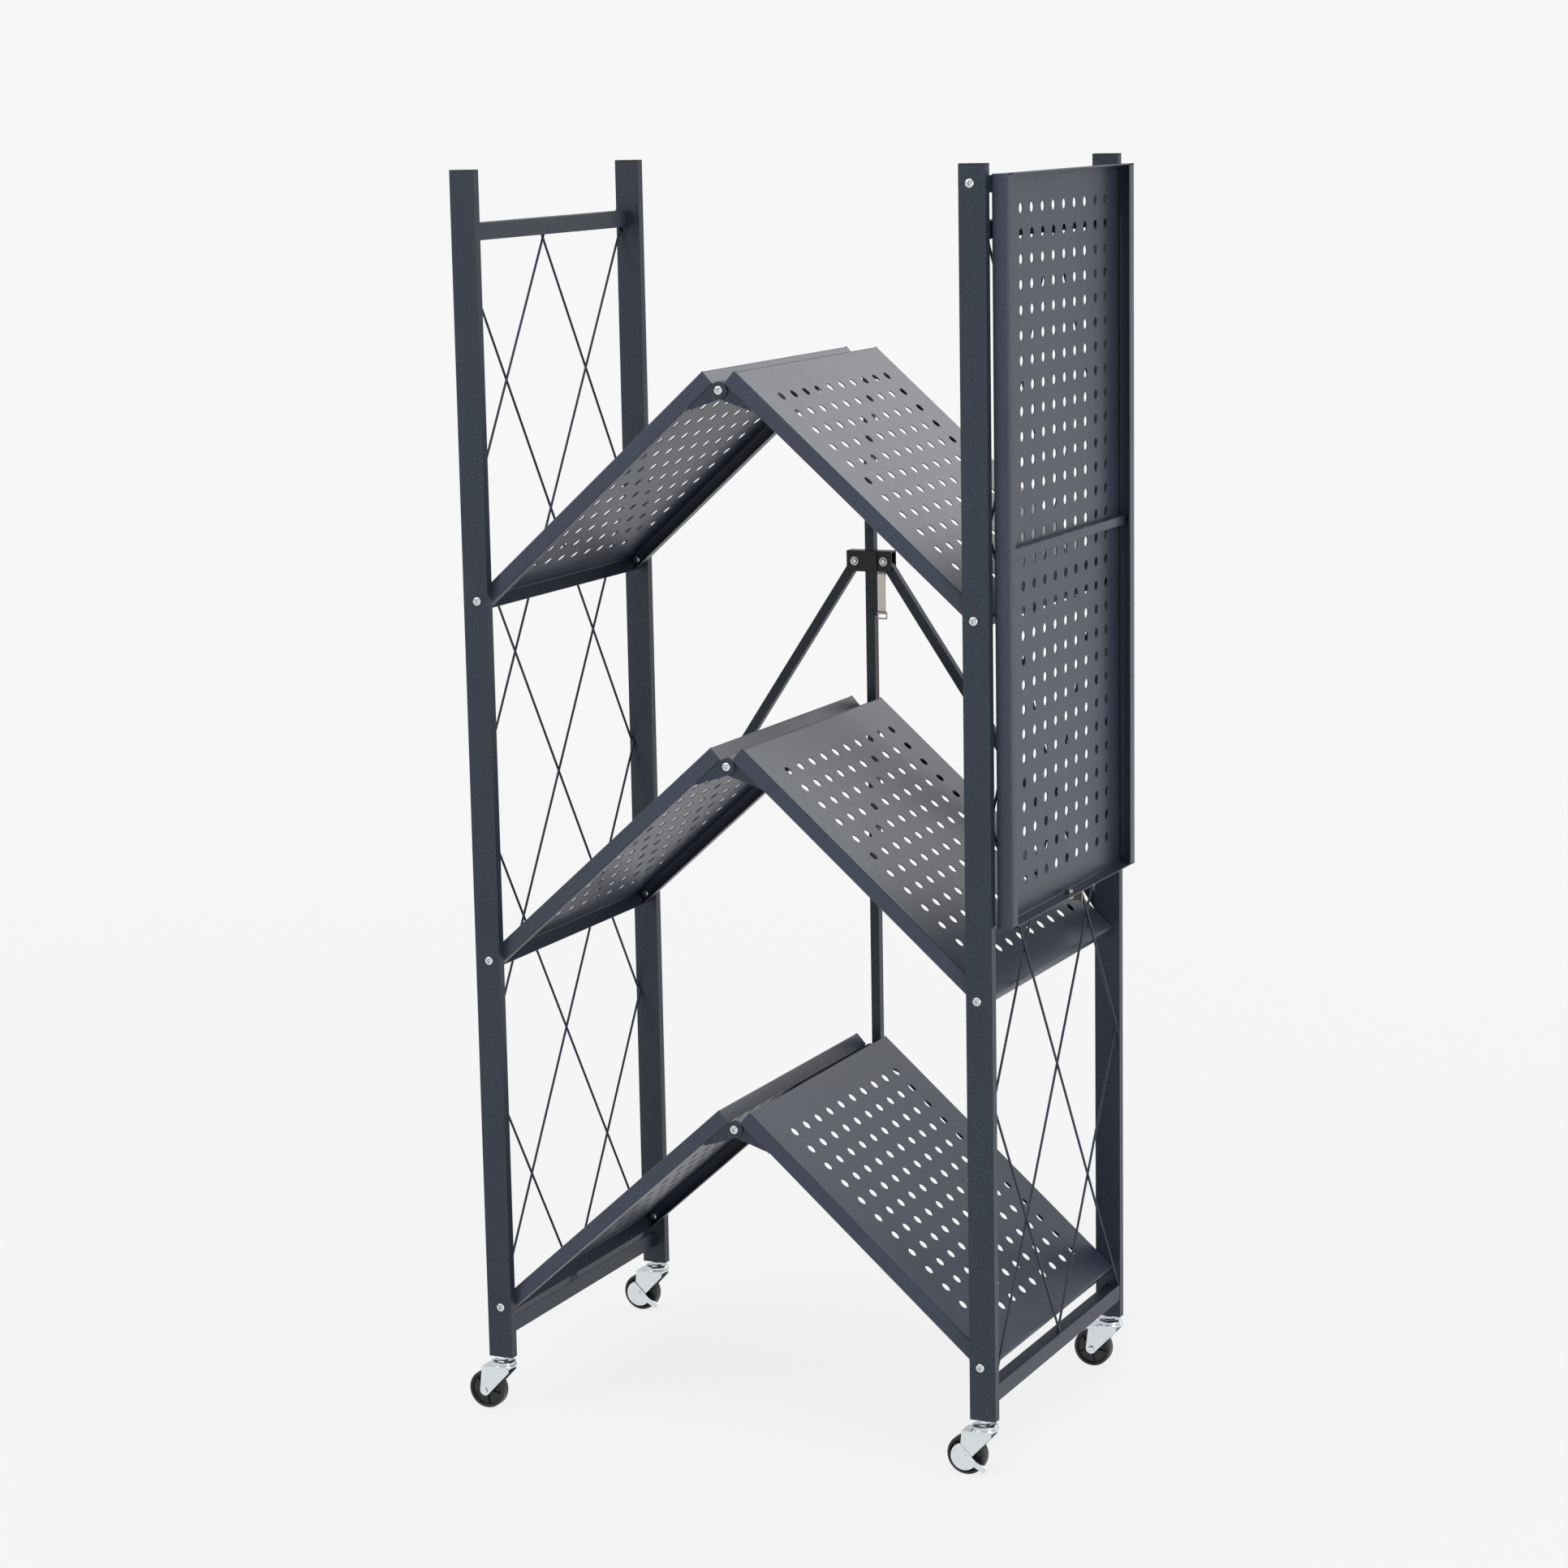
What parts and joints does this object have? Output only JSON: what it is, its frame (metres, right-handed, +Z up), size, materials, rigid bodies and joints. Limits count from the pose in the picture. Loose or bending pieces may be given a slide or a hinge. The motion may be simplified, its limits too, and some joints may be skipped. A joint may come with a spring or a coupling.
{
  "type": "folding storage shelf",
  "caption": "Folding shelf rack on casters: two post frames joined by hinged perforated half shelves, with a rear link bar, braces and a swing-over top shelf.",
  "frame": {"origin": "middle of the bounding box at floor level, in the pose of the picture", "axes": "+X across the shelf towards the frame that carries the top shelf, +Y to the back where the link bar is, +Z up"},
  "size_m": [0.6044, 0.3957, 1.269],
  "materials": {
    "frame_coat": "satin powder coat",
    "shelf_coat": "satin powder coat",
    "cap_plastic": "moulded",
    "wheel_plastic": "moulded",
    "caster_zinc": "bright zinc plate",
    "bolt_zinc": "bright zinc plate",
    "nickel": "nickel plate",
    "black_steel": "satin black"
  },
  "bodies": {
    "left_frame": {"post_front_left": "frame_coat", "post_rear_left": "frame_coat", "crossbars_left": "frame_coat", "lattice_left": "frame_coat", "post_plugs_left": "cap_plastic", "post_bolts_left": "bolt_zinc", "stem_front_left": "caster_zinc", "stem_rear_left": "caster_zinc"},
    "left_top_shelf": {"tray_top_left": "shelf_coat", "ears_top_left": "frame_coat"},
    "left_middle_shelf": {"tray_middle_left": "shelf_coat", "ears_middle_left": "frame_coat"},
    "left_low_shelf": {"tray_low_left": "shelf_coat", "ears_low_left": "frame_coat"},
    "front_left_fork": {"fork_front_left": "caster_zinc", "axle_front_left": "caster_zinc"},
    "front_left_wheel": {"wheel_front_left": "wheel_plastic"},
    "rear_left_fork": {"fork_rear_left": "caster_zinc", "axle_rear_left": "caster_zinc"},
    "rear_left_wheel": {"wheel_rear_left": "wheel_plastic"},
    "right_frame": {"post_front_right": "frame_coat", "post_rear_right": "frame_coat", "crossbars_right": "frame_coat", "lattice_right": "frame_coat", "post_plugs_right": "cap_plastic", "post_bolts_right": "bolt_zinc", "stem_front_right": "caster_zinc", "stem_rear_right": "caster_zinc", "top_bolts": "bolt_zinc"},
    "right_top_shelf": {"tray_top_right": "shelf_coat", "ears_top_right": "frame_coat"},
    "right_middle_shelf": {"tray_middle_right": "shelf_coat", "ears_middle_right": "frame_coat"},
    "right_low_shelf": {"tray_low_right": "shelf_coat", "ears_low_right": "frame_coat"},
    "front_right_fork": {"fork_front_right": "caster_zinc", "axle_front_right": "caster_zinc"},
    "front_right_wheel": {"wheel_front_right": "wheel_plastic"},
    "rear_right_fork": {"fork_rear_right": "caster_zinc", "axle_rear_right": "caster_zinc"},
    "rear_right_wheel": {"wheel_rear_right": "wheel_plastic"},
    "link": {"link_bar": "frame_coat", "middle_bolts_top": "bolt_zinc", "middle_bolts_middle": "bolt_zinc", "middle_bolts_low": "bolt_zinc"},
    "slider": {"slider_bracket": "black_steel", "slider_bolts": "bolt_zinc", "latch_strip": "black_steel"},
    "left_brace": {"brace_left": "frame_coat"},
    "right_brace": {"brace_right": "frame_coat"},
    "latch_lever": {"latch_lever": "nickel"},
    "latch_bail": {"latch_bail": "nickel"},
    "top_panel": {"top_shelf": "shelf_coat", "top_stiffener": "shelf_coat", "top_brackets": "frame_coat"},
    "hook": {"hook_latch": "nickel"},
    "rear_left_brake": {"brake_rear_left": "caster_zinc"},
    "front_right_brake": {"brake_front_right": "caster_zinc"}
  },
  "joints": [
    {"name": "fold", "type": "hinge", "parent": "left_frame", "child": "left_middle_shelf", "pos_m": [-0.26222, -0.00715, 0.478], "axis": [0, 1, 0], "range_deg": [-45, 41.63]},
    {"name": "link_pivot", "type": "hinge", "parent": "left_middle_shelf", "child": "link", "pos_m": [0.0035, -0.00715, 0.69012], "axis": [0, 1, 0], "range_deg": [-41.63, 45]},
    {"name": "right_middle_fold", "type": "hinge", "parent": "link", "child": "right_middle_shelf", "pos_m": [0.0035, -0.00715, 0.69012], "axis": [0, 1, 0], "range_deg": [-41.63, 45]},
    {"name": "right_frame_fold", "type": "hinge", "parent": "right_middle_shelf", "child": "right_frame", "pos_m": [0.26922, -0.00715, 0.478], "axis": [0, 1, 0], "range_deg": [-45, 41.63]},
    {"name": "left_top_fold", "type": "hinge", "parent": "left_frame", "child": "left_top_shelf", "pos_m": [-0.26222, -0.00715, 0.845], "axis": [0, 1, 0], "range_deg": [-45, 41.63]},
    {"name": "right_top_fold", "type": "hinge", "parent": "right_frame", "child": "right_top_shelf", "pos_m": [0.26922, -0.00715, 0.845], "axis": [0, 1, 0], "range_deg": [-41.63, 45]},
    {"name": "left_low_fold", "type": "hinge", "parent": "left_frame", "child": "left_low_shelf", "pos_m": [-0.26222, -0.00715, 0.111], "axis": [0, 1, 0], "range_deg": [-45, 41.63]},
    {"name": "right_low_fold", "type": "hinge", "parent": "right_frame", "child": "right_low_shelf", "pos_m": [0.26922, -0.00715, 0.111], "axis": [0, 1, 0], "range_deg": [-41.63, 45]},
    {"name": "slider_slide", "type": "slide", "parent": "link", "child": "slider", "axis": [0, 0, 1], "range_m": [-0.0815, 0.0754]},
    {"name": "left_brace_swing", "type": "hinge", "parent": "slider", "child": "left_brace", "pos_m": [-0.013, 0.18535, 0.85], "axis": [0, 1, 0], "range_deg": [-24.85, 23]},
    {"name": "right_brace_swing", "type": "hinge", "parent": "slider", "child": "right_brace", "pos_m": [0.02, 0.18535, 0.85], "axis": [0, 1, 0], "range_deg": [-23, 24.85]},
    {"name": "lever_swing", "type": "hinge", "parent": "slider", "child": "latch_lever", "pos_m": [0.0125, 0.17775, 0.8374], "axis": [1, 0, 0], "range_deg": [-80, 0]},
    {"name": "bail_swing", "type": "hinge", "parent": "latch_lever", "child": "latch_bail", "pos_m": [0.0125, 0.17695, 0.7966], "axis": [1, 0, 0], "range_deg": [-80, 0]},
    {"name": "top_shelf_swing", "type": "hinge", "parent": "right_frame", "child": "top_panel", "pos_m": [0.26922, -0.00715, 1.251], "axis": [0, 1, 0], "range_deg": [-270, 0]},
    {"name": "hook_turn", "type": "hinge", "parent": "top_panel", "child": "hook", "pos_m": [0.29422, -0.00715, 0.549], "axis": [0, 0, 1], "range_deg": [-90, 90]},
    {"name": "front_left_swivel", "type": "hinge", "parent": "left_frame", "child": "front_left_fork", "pos_m": [-0.26422, -0.18715, 0.057], "axis": [0, 0, 1], "continuous": true},
    {"name": "front_left_roll", "type": "hinge", "parent": "front_left_fork", "child": "front_left_wheel", "pos_m": [-0.28222, -0.18715, 0.02], "axis": [0, 1, 0], "continuous": true},
    {"name": "rear_left_swivel", "type": "hinge", "parent": "left_frame", "child": "rear_left_fork", "pos_m": [-0.26422, 0.17285, 0.057], "axis": [0, 0, 1], "continuous": true},
    {"name": "rear_left_roll", "type": "hinge", "parent": "rear_left_fork", "child": "rear_left_wheel", "pos_m": [-0.28222, 0.17285, 0.02], "axis": [0, 1, 0], "continuous": true},
    {"name": "front_right_swivel", "type": "hinge", "parent": "right_frame", "child": "front_right_fork", "pos_m": [0.27122, -0.18715, 0.057], "axis": [0, 0, 1], "continuous": true},
    {"name": "front_right_roll", "type": "hinge", "parent": "front_right_fork", "child": "front_right_wheel", "pos_m": [0.25322, -0.18715, 0.02], "axis": [0, 1, 0], "continuous": true},
    {"name": "rear_right_swivel", "type": "hinge", "parent": "right_frame", "child": "rear_right_fork", "pos_m": [0.27122, 0.17285, 0.057], "axis": [0, 0, 1], "continuous": true},
    {"name": "rear_right_roll", "type": "hinge", "parent": "rear_right_fork", "child": "rear_right_wheel", "pos_m": [0.25322, 0.17285, 0.02], "axis": [0, 1, 0], "continuous": true},
    {"name": "rear_left_brake_turn", "type": "hinge", "parent": "rear_left_fork", "child": "rear_left_brake", "pos_m": [-0.28222, 0.17285, 0.02], "axis": [0, 1, 0], "range_deg": [0, 20]},
    {"name": "front_right_brake_turn", "type": "hinge", "parent": "front_right_fork", "child": "front_right_brake", "pos_m": [0.25322, -0.18715, 0.02], "axis": [0, 1, 0], "range_deg": [0, 20]}
  ],
  "couplings": [
    {"joint": "link_pivot", "follows": "fold", "ratio": -1},
    {"joint": "right_middle_fold", "follows": "fold", "ratio": -1},
    {"joint": "right_frame_fold", "follows": "fold", "ratio": 1},
    {"joint": "left_top_fold", "follows": "fold", "ratio": 1},
    {"joint": "right_top_fold", "follows": "fold", "ratio": -1},
    {"joint": "left_low_fold", "follows": "fold", "ratio": 1},
    {"joint": "right_low_fold", "follows": "fold", "ratio": -1},
    {"joint": "slider_slide", "follows": "fold", "m_per_rad": 0.10313},
    {"joint": "left_brace_swing", "follows": "fold", "ratio": 0.55},
    {"joint": "right_brace_swing", "follows": "fold", "ratio": -0.55}
  ]
}
